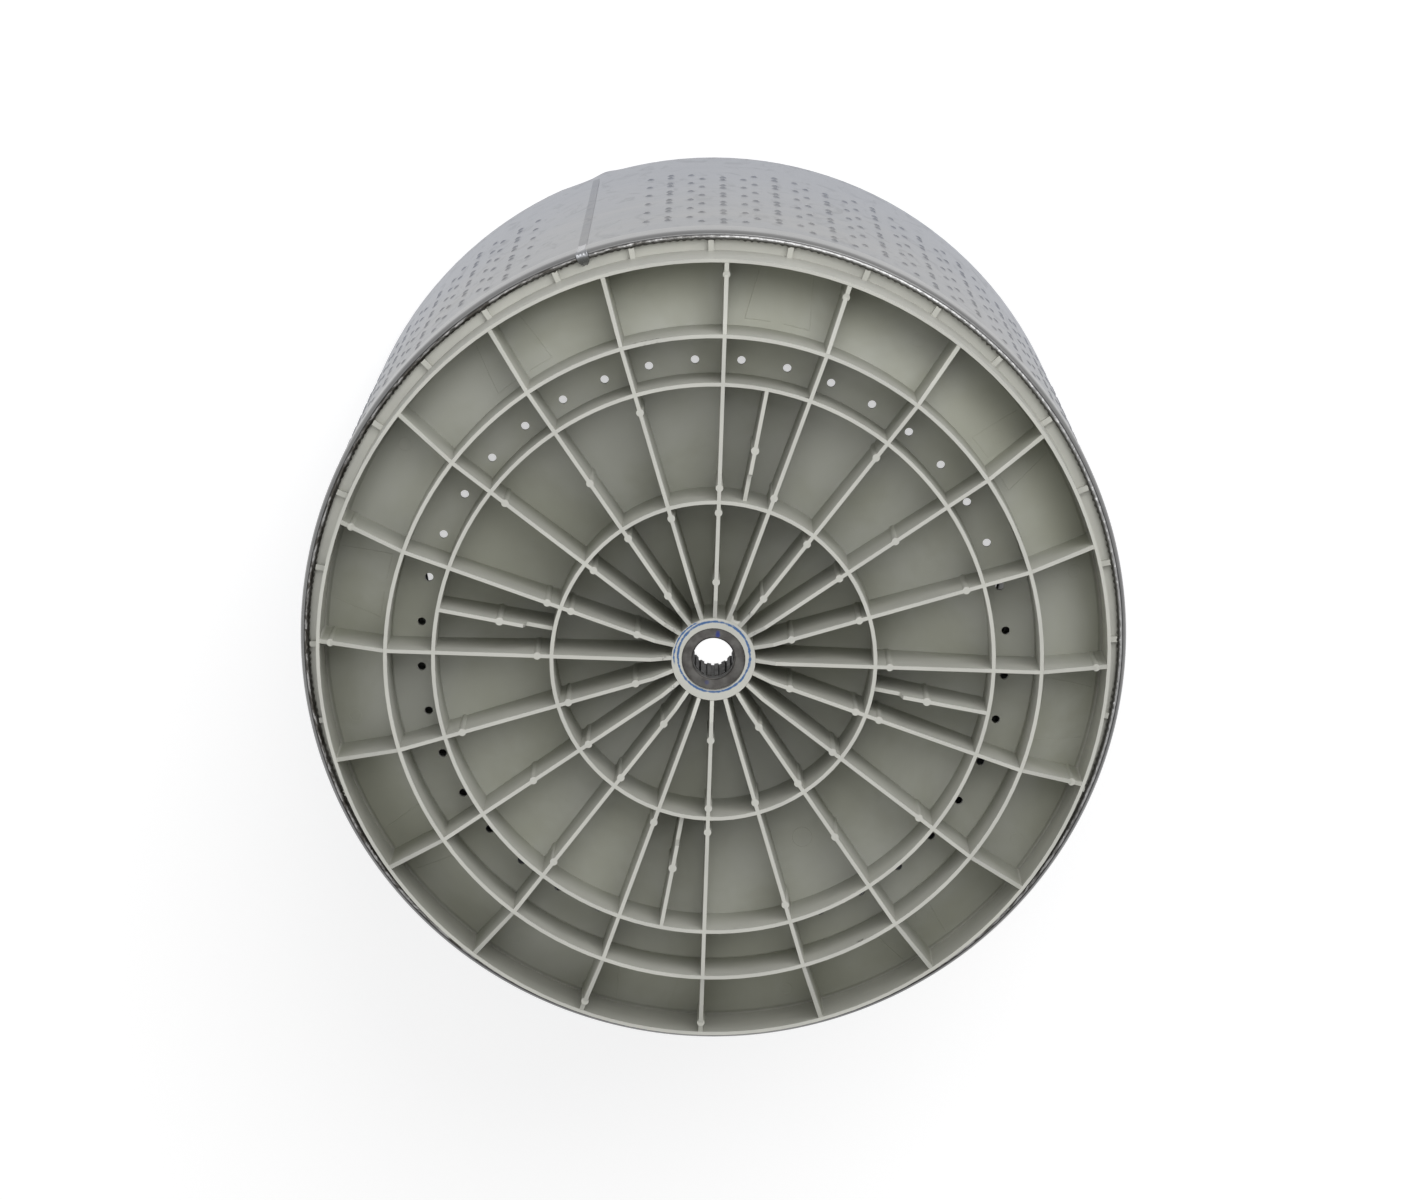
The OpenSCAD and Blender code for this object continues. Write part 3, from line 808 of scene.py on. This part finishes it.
def pad_outline(middle):
    """The outline of a mould insert in the outer cells: two sides and the inner end."""
    inner, outer, inner_half, outer_half = 216.5, 249.5, 5.6, 3.9

    def side(sign):
        rows = np.linspace(outer, inner, 12)
        halves = np.interp(rows, (inner, outer), (inner_half, outer_half))
        return [(r, middle + sign * half) for r, half in zip(rows, halves)]

    end = [(inner, a) for a in np.linspace(middle - inner_half, middle + inner_half, 16)]
    # a rib stands in the middle of every second outline, so the end is drawn in two halves
    return [side(-1), side(1), end[:7], end[9:]]


def ring_outline(r, angle, radius):
    x, y = polar(r, angle, 0)[0][:2]
    turn = np.linspace(0, 2 * math.pi, 20)
    px, py = x + radius * np.cos(turn), y + radius * np.sin(turn)
    return [(math.hypot(u, v), math.degrees(math.atan2(v, u))) for u, v in zip(px, py)]


make_ridges("mould_lines", [path for k in range(8) for path in pad_outline(9 + 45 * k)], 0.9, 0.3)
pins = [ring_outline(239, 31.5 + 45 * k, 4.2) for k in range(8)]
pins += [ring_outline(228.6, a, 4.2) for a in (51.1, 321.2)] + [ring_outline(140, 63.6, 6.5)]
make_ridges("ejector_marks", pins, 0.6, 0.2)


# Gates and the craters in them, as in part.scad
GATE_R, GATE_ANGLES = 139.4, [9 + 90 * k for k in range(4)]
CRATER_R, CRATER_DEPTH = 1.2, 1.6


def make_craters():
    """The torn plastic in the craters of the four gates."""
    verts, faces = [], []
    count = 18
    # share of the crater's radius, share of its depth, and how far the depth varies
    rings = ((0.97, 0.06, 0.04), (0.8, 0.3, 0.2), (0.55, 0.6, 0.2), (0.3, 0.85, 0.08))
    for angle in GATE_ANGLES:
        x, y = polar(GATE_R, angle, 0)[0][:2]
        first = len(verts)
        for share, depth, torn in rings:
            for k in range(count):
                t = 2 * math.pi * k / count
                z = CRATER_DEPTH * (depth + rng.uniform(-torn, torn))
                d = CRATER_R * share
                verts.append((x + d * math.cos(t), y + d * math.sin(t), z))
        for i in range(len(rings) - 1):
            for k in range(count):
                a, b = first + i * count + k, first + i * count + (k + 1) % count
                faces.append((a, b, b + count, a + count))
        last = first + (len(rings) - 1) * count
        faces.append(tuple(range(last, last + count)))
    return make_piece("torn_gates", verts, faces, GATE_PLASTIC, smooth=False)


def make_web():
    """The flash that fills the corner between two ribs at the hub."""
    verts, faces = [], []
    steps = 12
    for i in range(steps + 1):
        t = i / steps
        angle = 289 + 16 * t
        reach = 28.7 + 2.2 * abs(2 * t - 1) ** 1.5 + (1.2 if t < 0.3 else 0)
        for r, z in ((26.4, 7.6), ((26.4 + reach) / 2, 7.4), (reach, 7.8), (reach + 0.1, 9.5)):
            verts.append(tuple(polar(r, angle, z)[0]))
        if i:
            a, b = 4 * (i - 1), 4 * i
            faces += [(a + k, b + k, b + k + 1, a + k + 1) for k in range(3)]
    return make_piece("hub_flash", verts, faces, PLASTIC)


make_craters()
make_web()
